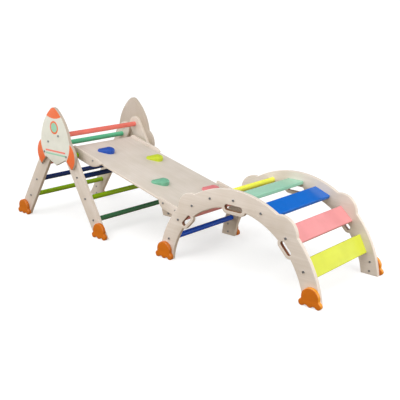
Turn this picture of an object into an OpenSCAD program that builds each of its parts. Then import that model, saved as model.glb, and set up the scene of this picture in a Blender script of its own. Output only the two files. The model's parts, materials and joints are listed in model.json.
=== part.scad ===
// Toddler climbing gym: a rocket-sided climbing triangle, a ramp with holds and a crawl-through arch.
// Millimetres, +Z up. The origin is on the floor at the middle of the set. The triangle stands at -X,
// the arch at +X, and the ramp hooks over one rung of each. The near side is -Y.

/* [Set] */
// distance between the middle of the triangle and the middle of the arch
spread = 1142; // [1126:1:1158]
// thickness of the plywood side parts
ply = 18; // [16:0.5:20]
// radius of the round rungs
rung_r = 13; // [12:0.25:13.5]

/* [Triangle] */
// space between a leg and the ramp's cheek
leg_play = 33; // [24:1:46]
// width of a leg across its flat
leg_w = 80; // [74:1:84]
// offset of the top front rung from the middle
front_x = 32; // [28:1:36]
// height of the top front rung
front_z = 481; // [476:1:486]
// sideways run of the front leg for each unit of height
front_run = 0.58; // [0.56:0.01:0.6]
// height of the lowest front rung
front_low = 82; // [76:1:88]
// offset of the top rear rung from the middle
rear_x = 75; // [72:1:80]
// depth of the top rear rung below the top front rung
rear_below = 67; // [61:1:73]
// sideways run of the rear leg for each unit of height
rear_run = 0.66; // [0.64:0.01:0.68]
// height of the lowest rear rung
rear_low = 114; // [108:1:120]
// length of the rear leg above its top rung, to the middle of the rounded end
rear_top = 34; // [30:1:38]

/* [Rocket board] */
// height of the tip of the nose above the top front rung
nose_up = 141; // [134:1:149]
// depth of the widest part of the body below the top front rung
belly_down = 66; // [59:1:71]
// half width of the body at its widest
belly_w = 122; // [116:1:128]
// radius that rounds the tip of the nose
nose_r = 34; // [28:0.5:40]
// depth of the lowest point of the tail below the top front rung
tail_down = 157; // [151:1:161]
// rise of the tail edge out to the fins
tail_rise = 38; // [34:1:44]
// half width of the tail edge
tail_w = 84; // [80:1:90]
// radius of the outer edge of a fin
fin_r = 80; // [76:1:84]
// offset of the middle of the fin's outer edge
fin_x = 77; // [74:1:80]
// depth of the middle of the fin's outer edge below the top front rung
fin_down = 100; // [95:1:105]
// offset of the fin's lower point
fin_tip_x = 127; // [122:1:130]
// depth of the fin's lower point below the top front rung
fin_tip_down = 162; // [159:1:166]

/* [Paw feet] */
// thickness of a paw foot
paw_t = 18; // [15:0.5:20]
// radius of a toe
toe_r = 14.5; // [13.5:0.25:15.5]
// distance between two toes
toe_pitch = 37; // [35:0.5:39]
// height of the notches between the toes
toe_cut = 7; // [5:0.5:9]
// height of a paw foot
paw_h = 80; // [74:1:86]
// width of the round top of a paw foot
paw_top_w = 80; // [74:1:84]
// how far the straight sides of a paw reach into its rounds, as a part of their radius
paw_side = 0.9; // [0.85:0.01:0.95]
// offset of the front paw outwards from the middle of its leg
front_paw_out = 6; // [0:1:12]
// offset of the rear paw inwards from the middle of its leg
rear_paw_in = 14; // [6:1:20]
// offset of the paw screws inwards from the middle of a paw on the triangle
paw_shift = 12; // [8:1:14]
// height of the lower screw in a paw
paw_screw_low = 17; // [15:1:20]
// height of the upper screw in a paw
paw_screw_high = 58; // [52:1:62]

/* [Ramp] */
// width of the ramp board
board_w = 388; // [372:2:404]
// thickness of the ramp board
board_t = 12; // [10:0.5:14]
// thickness of a side cheek
cheek_t = 13; // [11:0.5:15]
// length of the board past the upper hook rung
board_up = 48; // [44:1:54]
// length of the board past the lower hook rung
board_down = 28; // [24:1:32]
// length of the upper cheek past the upper end of the board
cheek_out_run = 2; // [1:0.5:4]
// height of the cheeks above the top of the board
lip_h = 12; // [8:0.5:15]
// length of the upper cheek below its hook rung
upper_len = 186; // [176:1:196]
// depth of the upper cheek below the hook rung's middle
upper_drop = 17; // [15:0.5:20]
// radius of the sweep at the lower end of the upper cheek
upper_sweep = 120; // [110:1:130]
// radius with which the top edge of the upper cheek falls to the board
lip_sweep = 70; // [60:1:80]
// distance of the upper cheek's upper screw from the hook rung
upper_screw = 30; // [26:1:34]
// distance of the upper cheek's lower screw from that end of the cheek
upper_screw_in = 63; // [56:1:70]
// length of the lower cheek above its hook rung
lower_len = 157; // [150:1:164]
// depth of the lower cheek below the hook rung's middle
lower_drop = 10; // [8:0.5:12]
// radius of the corners of the cheeks
cheek_r = 18; // [14:0.5:22]
// radius of the sweep at the upper end of the lower cheek
lower_sweep = 42; // [36:1:46]
// distance of the lower cheek's upper screw from that end of the cheek
lower_screw_in = 32; // [28:1:36]
// distance of the lower cheek's lower screw from the hook rung
lower_screw = 44; // [40:1:50]
// thickness of a hook plate under the board
hook_t = 15; // [12:0.5:18]
// distance from the lower rung back to the low corner of the hook plate
hook_back = 124; // [118:1:130]
// depth of the low corner of the hook plate below the rung's middle
hook_drop = 46; // [40:1:50]
// lean of the back edge of the hook plate
hook_lean = 32; // [26:1:36]
// distance of the hook plate's upper screw from its upper corner
hook_screw_in = 20; // [17:1:23]
// distance of the hook plate's lower screw from its front edge
hook_screw_out = 40; // [36:1:44]
// distance of the tie bar from the low corner of the hook plate, along the board
bar_in = 32; // [28:1:36]
// height of the tie bar above that corner, square to the board
bar_up = 25; // [22:1:28]
// play between a hook and its rung
hook_gap = 0.3; // [0.2:0.05:0.5]
// how far the lower cheeks and the hook plates stay from the lower rung
hook_play = 4; // [3:0.5:6]
// angle by which the mouth of the lower hook widens towards the arch
mouth_a = 4; // [2:0.5:5]

/* [Climbing holds] */
// radius of the wide end of a hold
hold_r = 29; // [26:1:32]
// radius of the narrow end of a hold
hold_tip_r = 14; // [12:0.5:17]
// distance between the two ends of a hold
hold_len = 45; // [40:1:50]
// distance of the bolt from the middle of the wide end
hold_fix = 11; // [8:1:14]
// height of the wide end of a hold
hold_h = 22; // [20:0.5:25]
// height of the narrow end of a hold
hold_tip_h = 11; // [10:0.5:13]
// radius of the rounded shoulder of a hold
hold_edge = 8; // [6:0.5:9]
// turn of a hold's narrow end from the ramp's run
hold_turn = 222; // [212:1:232]
// distance of the first hold from the upper hook rung
hold_1_u = 73; // [68:1:80]
// distance of the second hold from the upper hook rung
hold_2_u = 249; // [235:1:260]
// distance of the third hold from the lower hook rung
hold_3_u = 277; // [265:1:290]
// distance of the fourth hold from the lower hook rung
hold_4_u = 107; // [100:1:114]
// distance of the near row of holds from the board's edge
hold_near_in = 118; // [104:1:128]
// distance of the far row of holds from the board's edge
hold_far_in = 90; // [82:1:104]
// radius of a hold's bolt
hold_bolt_r = 4; // [3:0.25:5]
// radius of the head of a hold's bolt, under the board
hold_head_r = 6.5; // [6:0.25:8]
// height of the head of a hold's bolt
hold_head_h = 5; // [4:0.25:6]
// length of a hold's bolt inside the hold
hold_grip = 10; // [8:0.5:12]

/* [Arch] */
// space between an arch panel and the ramp's cheek
arch_play = 4; // [3:0.5:8]
// radius of the outer edge of an arch panel
arch_out_r = 440; // [434:1:446]
// width of the band of an arch panel
band_w = 81; // [76:1:86]
// depth of the middle of both edges below the floor
arch_sink = 50; // [44:1:56]
// radius of a hump on the outer edge
hump_r = 78; // [72:1:84]
// height of a hump above the outer edge
hump_h = 25; // [20:0.5:28]
// angle of a hump from the top of the arch
hump_a = 38; // [36:0.5:40]
// distance of the round rungs from the outer edge
rung_inset = 38; // [34:0.5:42]
// distance of the slats from the outer edge
slat_inset = 44; // [40:0.5:48]
// angle from the top of the arch to the first round rung
rung_a = 18.5; // [18:0.1:19.2]
// angle between two round rungs
rung_step = 16.7; // [16.4:0.1:17.2]
// angle between two slats
slat_step = 21; // [20:0.1:22]
// width of a slat
slat_w = 84; // [78:1:88]
// thickness of a slat
slat_t = 17; // [15:0.5:19]
// radius of the rounded long edges of a slat
slat_edge = 4; // [2:0.5:6]

/* [Hand slots] */
// distance of the middle hand slot outwards from the inner edge
mid_slot_in = 2; // [0:0.5:5]
// length of the middle hand slot
mid_slot_len = 95; // [88:1:102]
// width of the middle hand slot
mid_slot_w = 26; // [23:0.5:28]
// width of the grip inside the middle hand slot
mid_grip = 15; // [13:0.5:18]
// distance of the side hand slots outwards from the inner edge
side_slot_in = 8; // [5:0.5:11]
// angle of a side hand slot from the top
side_slot_a = 46.4; // [45:0.1:47.5]
// length of a side hand slot
side_slot_len = 66; // [60:1:72]
// width of a side hand slot
side_slot_w = 21; // [19:0.5:24]
// width of the grip inside a side hand slot
side_grip = 14; // [12:0.5:16]

/* [Fasteners] */
// radius of a bolt head
head_r = 5; // [4.5:0.25:6]
// height of a bolt head
head_h = 3; // [2.5:0.25:4]
// radius of a bolt shank
shank_r = 3; // [2.5:0.25:3.5]
// length of a bolt inside the end of a rung
grip_len = 36; // [30:1:45]
// play between a bolt and its hole
bolt_gap = 0.2; // [0.1:0.05:0.3]
// radius of a wood screw head
screw_head_r = 4.5; // [4:0.25:5]
// height of a wood screw head
screw_head_h = 2; // [1.5:0.25:2.5]
// radius of a wood screw shank
screw_r = 2; // [1.5:0.25:2.5]
// length of a wood screw inside the second piece
screw_grip = 12; // [8:1:13]

/* [Hidden] */
$fn = 64;

sides = [0, 1];
big = 2000;
over = 1;
socket_r = 0.5 * head_r;
socket_h = 0.6 * head_h;
bolt_hole = shank_r + bolt_gap;
screw_hole = screw_r + bolt_gap;
cheek_in = board_w / 2;
cheek_out = cheek_in + cheek_t;
tri_in = cheek_out + leg_play;
tri_half = tri_in + ply;
arch_in = cheek_out + arch_play;
arch_half = arch_in + ply;

// radii of the arch
arch_in_r = arch_out_r - band_w;
rung_ring = arch_out_r - rung_inset;
slat_ring = arch_out_r - slat_inset;
mid_slot_r = arch_in_r + mid_slot_in;
side_slot_r = arch_in_r + side_slot_in;
hump_ring = arch_out_r + hump_h - hump_r;

// heights on the triangle
rear_z = front_z - rear_below;
nose_z = front_z + nose_up;
belly_z = front_z - belly_down;
tail_z = front_z - tail_down;
fin_z = front_z - fin_down;
fin_tip_z = front_z - fin_tip_down;

// feet and paws
paw_half = toe_pitch + toe_r;
front_foot = front_x + front_run * front_z;
rear_foot = rear_x + rear_run * rear_z;
front_paw_x = front_foot + front_paw_out;
rear_paw_x = rear_foot - rear_paw_in;
arch_foot_out = sqrt(pow(arch_out_r, 2) - pow(arch_sink, 2));
arch_foot_in = sqrt(pow(arch_in_r, 2) - pow(arch_sink, 2));
arch_paw_x = (arch_foot_out + arch_foot_in) / 2;
arch_reach = max(arch_paw_x + paw_half, arch_foot_out);
rear_reach = max(rear_paw_x + paw_half, rear_foot + leg_w / 2 * norm([1, rear_run]));
tri_x = (rear_reach - arch_reach - spread) / 2;
arch_x = tri_x + spread;

// rung positions in the triangle's own x and height
front_count = 5;
rear_count = 4;
front_drop = (front_z - front_low) / (front_count - 1);
rear_drop = (rear_z - rear_low) / (rear_count - 1);
function front_pt(k) = [front_x + front_run * front_drop * k, front_z - front_drop * k];
function rear_pt(k) = [-rear_x - rear_run * rear_drop * k, rear_z - rear_drop * k];
front_lean = atan(front_run);
rear_lean = atan(rear_run);
rear_end = rear_pt(0) + rear_top * [sin(rear_lean), cos(rear_lean)];
rear_fix = [rear_end, 2 * rear_pt(0) - rear_end];
panel_fix = concat([front_pt(0), front_pt(1)], rear_fix);

// arch positions: an angle from the top, positive towards +X, and a radius
function arch_pt(a, r) = [r * sin(a), r * cos(a) - arch_sink];
rung_angles = [for (k = [0:3]) -rung_a - rung_step * k];
slat_angles = [for (k = [0:3]) slat_step * k];
rung_pts = [for (a = rung_angles) arch_pt(a, rung_ring)];
slat_pts = [for (a = slat_angles) arch_pt(a, slat_ring)];
cross_pts = concat(rung_pts, slat_pts);

// the ramp's own frame: u runs down the board from the upper hook rung, w is square to the board
hook_a = [tri_x + front_pt(1)[0], front_pt(1)[1]];
hook_b = [arch_x, 0] + rung_pts[2];
hook_run = norm(hook_b - hook_a);
ramp_a = atan2(hook_a[1] - hook_b[1], hook_b[0] - hook_a[0]);
seat = rung_r + hook_gap;
board_top = seat + board_t;
lip_top = board_top + lip_h;
hook_front = seat + hook_play;
hook_in = cheek_in - hook_t;
hold_near = hold_near_in - cheek_in;
hold_far = cheek_in - hold_far_in;
hold_places = [
    [hold_1_u, hold_near], [hold_2_u, hold_far],
    [hook_run - hold_3_u, hold_near], [hook_run - hold_4_u, hold_far]
];
hold_bore = hold_bolt_r + bolt_gap;
upper_screw_u = [-upper_screw, upper_len - upper_screw_in];
lower_screw_u = [hook_run - lower_len + lower_screw_in, hook_run - lower_screw];
screw_w = seat + board_t / 2;
hook_screw_u = [hook_run - hook_back - hook_lean + hook_screw_in, hook_run - hook_front - hook_screw_out];
hook_screw_uv = [for (u = hook_screw_u, s = [-1, 1]) [u, s * (cheek_in - hook_t / 2)]];
bar_uw = [hook_run - hook_back + bar_in, bar_up - hook_drop];
foot_cut = tan(ramp_a);
fin_root = 10;

// a plate in the XZ plane that fills y from y0 to y0 + t
module plate(y0, t) {
    translate([0, y0 + t, 0]) rotate([90, 0, 0]) linear_extrude(t) children();
}

// near side as drawn for side 0, its mirror image for side 1
module on_side(side) {
    mirror([0, side, 0]) children();
}

// a bar with two round ends
module bar_2d(p, q, r) {
    run = norm(q - p);
    translate(p) rotate(atan2(q[1] - p[1], q[0] - p[0])) {
        circle(r);
        translate([run, 0]) circle(r);
        translate([0, -r]) square([run, 2 * r]);
    }
}

// circles of radius r at a list of places
module rounds_2d(places, r) {
    for (p = places) translate(p) circle(r);
}

// a bolt that points into the part (+Y) from a face at y0
module bolt(p, y0, len) {
    translate([p[0], y0, p[1]]) rotate([-90, 0, 0]) {
        cylinder(h = len, r = shank_r);
        difference() {
            translate([0, 0, -head_h]) cylinder(h = head_h, r = head_r);
            translate([0, 0, -head_h]) cylinder(h = socket_h, r = socket_r, $fn = 6);
        }
    }
}

// a wood screw that points along +Y from a face at y0
module wood_screw(p, y0, len) {
    translate([p[0], y0, p[1]]) rotate([-90, 0, 0]) {
        cylinder(h = len, r = screw_r);
        difference() {
            translate([0, 0, -screw_head_h]) cylinder(h = screw_head_h, r = screw_head_r);
            translate([0, 0, -screw_head_h]) cylinder(h = screw_head_h / 2, r = screw_r, $fn = 6);
        }
    }
}

// a round rung along Y with a bolt hole in each end
module rung(p, half) {
    translate([p[0], -half, p[1]]) rotate([-90, 0, 0]) difference() {
        cylinder(h = 2 * half, r = rung_r);
        cylinder(h = grip_len + bolt_gap, r = bolt_hole);
        translate([0, 0, 2 * half - grip_len - bolt_gap]) cylinder(h = grip_len + bolt_gap, r = bolt_hole);
    }
}

// a straight leg with a round top, cut level at the floor
module leg_2d(top, foot) {
    difference() {
        bar_2d(top, foot + leg_w * (foot - top) / norm(foot - top), leg_w / 2);
        translate([-big / 2, -big]) square(big);
    }
}

// a paw with a round top and three toes on the floor
module paw_2d() {
    top_r = paw_top_w / 2;
    top_z = paw_h - top_r;
    intersection() {
        translate([0, top_z]) circle(top_r);
        translate([-top_r, toe_cut]) square([paw_top_w, paw_h]);
    }
    for (s = [-1, 0, 1]) translate([s * toe_pitch, toe_r]) circle(toe_r);
    polygon([
        [-toe_pitch, toe_cut], [toe_pitch, toe_cut], [toe_pitch + paw_side * toe_r, toe_r],
        [paw_side * top_r, top_z], [-paw_side * top_r, top_z], [-toe_pitch - paw_side * toe_r, toe_r]
    ]);
}

module paw_plate(x, half, screws) {
    difference() {
        translate([x, 0]) plate(-half - paw_t, paw_t) paw_2d();
        for (p = screws) translate([p[0], -half - screw_grip - bolt_gap, p[1]]) rotate([-90, 0, 0])
            cylinder(h = screw_grip + bolt_gap, r = screw_hole);
    }
}

// screws that go outwards through the inner face of a leg into the paw
module paw_screw_set(screws, half) {
    for (side = sides, p = screws) on_side(side)
        mirror([0, 1, 0]) wood_screw(p, half - ply, ply + screw_grip);
}

// triangle: places of the paw screws, on the leg and inside the paw
front_paw_screws = [for (z = [paw_screw_low, paw_screw_high]) [front_paw_x - paw_shift, z]];
rear_paw_screws = [for (z = [paw_screw_low, paw_screw_high]) [paw_shift / 2 - rear_paw_x, z]];

module front_leg(side) {
    color("BurlyWood") translate([tri_x, 0, 0]) on_side(side) plate(-tri_half, ply) difference() {
        leg_2d(front_pt(0), front_pt(0) + front_z * [front_run, -1]);
        rounds_2d([for (k = [0:front_count - 1]) front_pt(k)], bolt_hole);
        rounds_2d(front_paw_screws, screw_hole);
    }
}

module rear_leg(side) {
    color("BurlyWood") translate([tri_x, 0, 0]) on_side(side) difference() {
        plate(-tri_half, ply) difference() {
            leg_2d(rear_end, rear_pt(0) + rear_z * [-rear_run, -1]);
            rounds_2d([for (k = [0:rear_count - 1]) rear_pt(k)], bolt_hole);
            rounds_2d(rear_fix, bolt_hole);
            rounds_2d(rear_paw_screws, screw_hole);
        }
        translate([rear_pt(0)[0], -tri_half, rear_pt(0)[1]]) rotate([-90, 0, 0])
            cylinder(h = head_h + bolt_gap, r = head_r + bolt_gap);
    }
}

// body of the rocket: two arcs that run into a rounded nose, over a shallow V tail
module rocket_body_2d() {
    side_w = belly_w - nose_r;
    nose_drop = nose_z - nose_r - belly_z;
    arc_x = (nose_drop * nose_drop - side_w * side_w) / (2 * side_w);
    arc_r = belly_w + arc_x;
    join_z = nose_z - nose_r + nose_r * nose_drop / norm([arc_x, nose_drop]);
    tail_side = tail_z + tail_rise;
    intersection() {
        translate([-arc_x, belly_z]) circle(arc_r, $fn = 180);
        translate([arc_x, belly_z]) circle(arc_r, $fn = 180);
        polygon([
            [0, tail_z], [tail_w, tail_side], [belly_w, tail_side], [belly_w, join_z],
            [-belly_w, join_z], [-belly_w, tail_side], [-tail_w, tail_side]
        ]);
    }
    translate([0, nose_z - nose_r]) circle(nose_r);
}

// a fin: a round outer edge that runs down to a point, straight on the inside
module fin_2d() {
    intersection() {
        translate([fin_x, fin_z]) circle(fin_r);
        polygon([
            [tail_w - fin_root, tail_z + tail_rise], [tail_w, tail_z + tail_rise], [fin_tip_x, fin_tip_z],
            [2 * fin_r + fin_x, fin_tip_z], [2 * fin_r + fin_x, fin_z + fin_r],
            [tail_w - fin_root, fin_z + fin_r]
        ]);
    }
}

module rocket_2d() {
    rocket_body_2d();
    for (s = [0, 1]) mirror([s, 0]) fin_2d();
}

module rocket_panel(side) {
    color("Linen") translate([tri_x, 0, 0]) on_side(side) plate(-tri_half - ply, ply) difference() {
        rocket_2d();
        rounds_2d(panel_fix, bolt_hole);
    }
}

module front_rung(k) {
    colors = ["Tomato", "YellowGreen", "RoyalBlue", "YellowGreen", "MediumSeaGreen"];
    color(colors[k]) translate([tri_x, 0, 0]) rung(front_pt(k), tri_in);
}

module rear_rung(k) {
    colors = ["MediumSeaGreen", "Tomato", "RoyalBlue", "YellowGreen"];
    color(colors[k]) translate([tri_x, 0, 0]) rung(rear_pt(k), tri_in);
}

module front_paw(side) {
    color("DarkOrange") translate([tri_x, 0, 0]) on_side(side)
        paw_plate(front_paw_x, tri_half, front_paw_screws);
}

module rear_paw(side) {
    color("DarkOrange") translate([tri_x, 0, 0]) on_side(side)
        paw_plate(-rear_paw_x, tri_half, rear_paw_screws);
}

module panel_bolts() {
    color("SlateGray") translate([tri_x, 0, 0]) for (side = sides) on_side(side) {
        for (k = [0, 1]) bolt(front_pt(k), -tri_half - ply, 2 * ply + grip_len);
        for (p = rear_fix) bolt(p, -tri_half - ply, 2 * ply);
    }
}

module leg_bolts() {
    color("SlateGray") translate([tri_x, 0, 0]) for (side = sides) on_side(side) {
        for (k = [2:front_count - 1]) bolt(front_pt(k), -tri_half, ply + grip_len);
        for (k = [1:rear_count - 1]) bolt(rear_pt(k), -tri_half, ply + grip_len);
    }
}

module flush_bolts() {
    color("SlateGray") translate([tri_x, 0, 0]) for (side = sides) on_side(side)
        bolt(rear_pt(0), head_h + bolt_gap - tri_half, ply - head_h + grip_len - bolt_gap);
}

module triangle_paw_screws() {
    color("SlateGray") translate([tri_x, 0, 0])
        paw_screw_set(concat(front_paw_screws, rear_paw_screws), tri_half);
}

// puts its children in the world from the ramp's frame
module on_ramp() {
    translate([hook_a[0], 0, hook_a[1]]) rotate([0, ramp_a, 0]) children();
}

// the mouth of the lower hook: open below and towards the arch, clear of the rung by play
module mouth_2d(play) {
    reach = seat + play;
    rise = ramp_a + mouth_a;
    over = reach * [-sin(ramp_a), cos(ramp_a)];
    corner = [-reach, over[1] - (reach + over[0]) * tan(rise)];
    translate([hook_run, 0]) polygon([
        corner, corner + big / 10 * [cos(rise), sin(rise)], [big / 10, -big / 10], [-reach, -big / 10]
    ]);
}

module ramp_board() {
    color("Wheat") on_ramp() difference() {
        plate(-board_w / 2, board_w) difference() {
            translate([-board_up, seat]) square([board_up + hook_run + board_down, board_t]);
            mouth_2d(0);
        }
        for (p = hold_places) translate([p[0], p[1], seat - over])
            cylinder(h = board_t + 2 * over, r = hold_bore);
        for (p = hook_screw_uv) translate([p[0], p[1], seat - over]) {
            cylinder(h = board_t + 2 * over, r = screw_hole);
            translate([0, 0, board_t + over - screw_head_h])
                cylinder(h = screw_head_h + over, r = screw_head_r + bolt_gap);
        }
        for (side = sides, u = concat(upper_screw_u, lower_screw_u)) on_side(side)
            translate([u, -board_w / 2, screw_w]) rotate([-90, 0, 0])
                cylinder(h = screw_grip + bolt_gap, r = screw_hole);
    }
}

module upper_cheek_2d() {
    low = -upper_drop;
    left = -board_up - cheek_out_run;
    tall = lip_top - low;
    sweep_u = upper_len - sqrt(pow(upper_sweep, 2) - pow(upper_sweep - board_top - upper_drop, 2));
    fade_u = upper_len - sqrt(pow(lip_sweep, 2) - pow(lip_sweep - lip_h, 2));
    difference() {
        union() {
            intersection() {
                translate([left + cheek_r, low]) square([upper_len - left - cheek_r, tall]);
                union() {
                    translate([left, low]) square([sweep_u - left, tall]);
                    translate([sweep_u, low + upper_sweep]) circle(upper_sweep, $fn = 180);
                }
                union() {
                    translate([left, low]) square([fade_u - left, tall]);
                    translate([fade_u, lip_top - lip_sweep]) circle(lip_sweep, $fn = 180);
                }
            }
            translate([left, low + cheek_r]) square([cheek_r, tall - 2 * cheek_r]);
            for (w = [low + cheek_r, lip_top - cheek_r]) translate([left + cheek_r, w]) circle(cheek_r);
        }
        circle(seat);
        translate([-seat, -big / 10]) square([2 * seat, big / 10]);
        rounds_2d([for (u = upper_screw_u) [u, screw_w]], screw_hole);
    }
}

module upper_cheek(side) {
    color("BurlyWood") on_ramp() on_side(side) plate(-cheek_out, cheek_t) upper_cheek_2d();
}

module lower_cheek_2d() {
    low = -lower_drop;
    left = hook_run - lower_len;
    right = hook_run + board_down + lip_h;
    tall = lip_top - low;
    difference() {
        union() {
            translate([left + lower_sweep, low]) square([right - left - lower_sweep - lip_h, tall]);
            intersection() {
                translate([left + lower_sweep, low + lower_sweep]) circle(lower_sweep);
                translate([left, low]) square([lower_sweep, tall]);
            }
            translate([right - lip_h, lip_top - lip_h]) circle(lip_h);
        }
        mouth_2d(hook_play);
        rounds_2d([for (u = lower_screw_u) [u, screw_w]], screw_hole);
    }
}

module lower_cheek(side) {
    color("BurlyWood") on_ramp() on_side(side) plate(-cheek_out, cheek_t) lower_cheek_2d();
}

// the plate behind the lower cheek: its low edge is level and its front edge stops short of the lower rung
module hook_plate_2d() {
    low = (hook_back - hook_front) * foot_cut - hook_drop;
    translate([hook_run, 0]) polygon([
        [-hook_back - hook_lean, seat], [-hook_back, -hook_drop], [-hook_front, low], [-hook_front, seat]
    ]);
}

module hook_plate(side) {
    color("Peru") on_ramp() difference() {
        on_side(side) difference() {
            plate(-cheek_in, hook_t) hook_plate_2d();
            translate([bar_uw[0], -cheek_in - over, bar_uw[1]]) rotate([-90, 0, 0])
                cylinder(h = hook_t + 2 * over, r = bolt_hole);
        }
        for (p = hook_screw_uv) translate([p[0], p[1], seat - screw_grip - bolt_gap])
            cylinder(h = screw_grip + bolt_gap + over, r = screw_hole);
    }
}

// the round bar that ties the two hook plates together under the board
module hook_bar() {
    color("Wheat") on_ramp() rung(bar_uw, hook_in);
}

module hook_bar_bolts() {
    color("SlateGray") on_ramp() for (side = sides) on_side(side)
        bolt(bar_uw, -cheek_in, hook_t + grip_len);
}

// a climbing hold: a tall wide end that falls to a low narrow end, bolted from below
module hold(k) {
    colors = ["RoyalBlue", "YellowGreen", "MediumAquamarine", "LightCoral"];
    place = [hold_places[k][0], hold_places[k][1], board_top];
    color(colors[k]) on_ramp() translate(place) rotate(hold_turn) difference() {
        hull() {
            translate([-hold_fix, 0, 0]) hold_end(hold_r, hold_h);
            translate([hold_len - hold_fix, 0, 0]) hold_end(hold_tip_r, hold_tip_h);
        }
        translate([0, 0, -over]) cylinder(h = hold_grip + bolt_gap + over, r = hold_bore);
    }
}

// one end of a hold: a low puck with a quarter-round shoulder
module hold_end(r, h) {
    rotate_extrude($fn = 48) {
        square([r - hold_edge, h]);
        square([r, h - hold_edge]);
        translate([r - hold_edge, h - hold_edge]) intersection() {
            circle(hold_edge, $fn = 32);
            square(hold_edge);
        }
    }
}

// the bolts of the holds: a flat head under the board, the shank up through it
module hold_bolts() {
    color("SlateGray") on_ramp() for (p = hold_places) translate([p[0], p[1], seat - hold_head_h]) {
        translate([0, 0, hold_head_h]) cylinder(h = board_t + hold_grip, r = hold_bolt_r);
        difference() {
            cylinder(h = hold_head_h, r = hold_head_r);
            translate([0, 0, -over]) cylinder(h = hold_head_h / 2 + over, r = hold_head_r / 2, $fn = 6);
        }
    }
}

module cheek_screws() {
    color("SlateGray") on_ramp() for (side = sides) on_side(side)
        for (u = concat(upper_screw_u, lower_screw_u))
            wood_screw([u, screw_w], -cheek_out, cheek_t + screw_grip);
}

module hook_screws() {
    color("SlateGray") on_ramp() for (p = hook_screw_uv) translate([p[0], p[1], 0]) {
        translate([0, 0, seat - screw_grip]) cylinder(h = board_t + screw_grip - screw_head_h, r = screw_r);
        translate([0, 0, board_top - screw_head_h]) difference() {
            cylinder(h = screw_head_h, r = screw_head_r);
            translate([0, 0, screw_head_h / 2]) cylinder(h = screw_head_h, r = screw_r, $fn = 6);
        }
    }
}

// a slot of given length and width, square to the arch's radius
module slot_2d(a, r, len, w) {
    half = (len - w) / 2;
    c = arch_pt(a, r);
    along = [cos(a), -sin(a)];
    bar_2d(c - half * along, c + half * along, w / 2);
}

// the grip inside a hand slot: the slot's own shape grown inwards
module grip_2d(a, r, len, w, grip) {
    slot_2d(a, r, len + 2 * grip, w + 2 * grip);
}

module arch_panel_2d() {
    difference() {
        union() {
            difference() {
                union() {
                    translate([0, -arch_sink]) circle(arch_out_r, $fn = 180);
                    rounds_2d([for (s = [-1, 1]) arch_pt(s * hump_a, hump_ring)], hump_r);
                }
                translate([0, -arch_sink]) circle(arch_in_r, $fn = 180);
            }
            grip_2d(0, mid_slot_r, mid_slot_len, mid_slot_w, mid_grip);
            for (s = [-1, 1]) grip_2d(s * side_slot_a, side_slot_r, side_slot_len, side_slot_w, side_grip);
        }
        translate([-big / 2, -big]) square(big);
        slot_2d(0, mid_slot_r, mid_slot_len, mid_slot_w);
        for (s = [-1, 1]) slot_2d(s * side_slot_a, side_slot_r, side_slot_len, side_slot_w);
        rounds_2d(cross_pts, bolt_hole);
        rounds_2d(arch_paw_screw_places, screw_hole);
    }
}

// places of the screws in the left (-1) or right (1) paw of an arch panel
function arch_paw_screws_2d(s) = [for (z = [paw_screw_low, paw_screw_high]) [s * arch_paw_x, z]];
arch_paw_screw_places = concat(arch_paw_screws_2d(-1), arch_paw_screws_2d(1));

module arch_panel(side) {
    color("BurlyWood") translate([arch_x, 0, 0]) on_side(side) plate(-arch_half, ply) arch_panel_2d();
}

module arch_rung(k) {
    colors = ["GreenYellow", "MediumAquamarine", "LightCoral", "RoyalBlue"];
    color(colors[k]) translate([arch_x, 0, 0]) rung(rung_pts[k], arch_in);
}

// a flat step with rounded long edges, square to the arch
module slat(k) {
    colors = ["MediumAquamarine", "RoyalBlue", "LightPink", "GreenYellow"];
    half = [slat_w / 2 - slat_edge, slat_t / 2 - slat_edge];
    color(colors[k]) translate([arch_x + slat_pts[k][0], 0, slat_pts[k][1]])
        rotate([0, slat_angles[k], 0]) difference() {
        plate(-arch_in, 2 * arch_in) {
            square([slat_w - 2 * slat_edge, slat_t], center = true);
            square([slat_w, slat_t - 2 * slat_edge], center = true);
            for (s = [-1, 1], v = [-1, 1]) translate([s * half[0], v * half[1]]) circle(slat_edge);
        }
        for (side = sides) on_side(side) translate([0, -arch_in, 0]) rotate([-90, 0, 0])
            cylinder(h = grip_len + bolt_gap, r = bolt_hole);
    }
}

module arch_paw(s, side) {
    color("DarkOrange") translate([arch_x, 0, 0]) on_side(side)
        paw_plate(s * arch_paw_x, arch_half, arch_paw_screws_2d(s));
}

module arch_bolts() {
    color("SlateGray") translate([arch_x, 0, 0]) for (side = sides, p = cross_pts) on_side(side)
        bolt(p, -arch_half, ply + grip_len);
}

module arch_paw_screws() {
    color("SlateGray") translate([arch_x, 0, 0]) paw_screw_set(arch_paw_screw_places, arch_half);
}

front_leg(0);  // front_leg_near
front_leg(1);  // front_leg_far
rear_leg(0);  // rear_leg_near
rear_leg(1);  // rear_leg_far
rocket_panel(0);  // rocket_panel_near
rocket_panel(1);  // rocket_panel_far
front_rung(0);  // front_rung_1
front_rung(1);  // front_rung_2
front_rung(2);  // front_rung_3
front_rung(3);  // front_rung_4
front_rung(4);  // front_rung_5
rear_rung(0);  // rear_rung_1
rear_rung(1);  // rear_rung_2
rear_rung(2);  // rear_rung_3
rear_rung(3);  // rear_rung_4
front_paw(0);  // front_paw_near
front_paw(1);  // front_paw_far
rear_paw(0);  // rear_paw_near
rear_paw(1);  // rear_paw_far
panel_bolts();
leg_bolts();
flush_bolts();
triangle_paw_screws();
ramp_board();
upper_cheek(0);  // upper_cheek_near
upper_cheek(1);  // upper_cheek_far
lower_cheek(0);  // lower_cheek_near
lower_cheek(1);  // lower_cheek_far
hook_plate(0);  // hook_plate_near
hook_plate(1);  // hook_plate_far
hold(0);  // hold_1
hold(1);  // hold_2
hold(2);  // hold_3
hold(3);  // hold_4
hold_bolts();
cheek_screws();
hook_screws();
hook_bar();
hook_bar_bolts();
arch_panel(0);  // arch_panel_near
arch_panel(1);  // arch_panel_far
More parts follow.
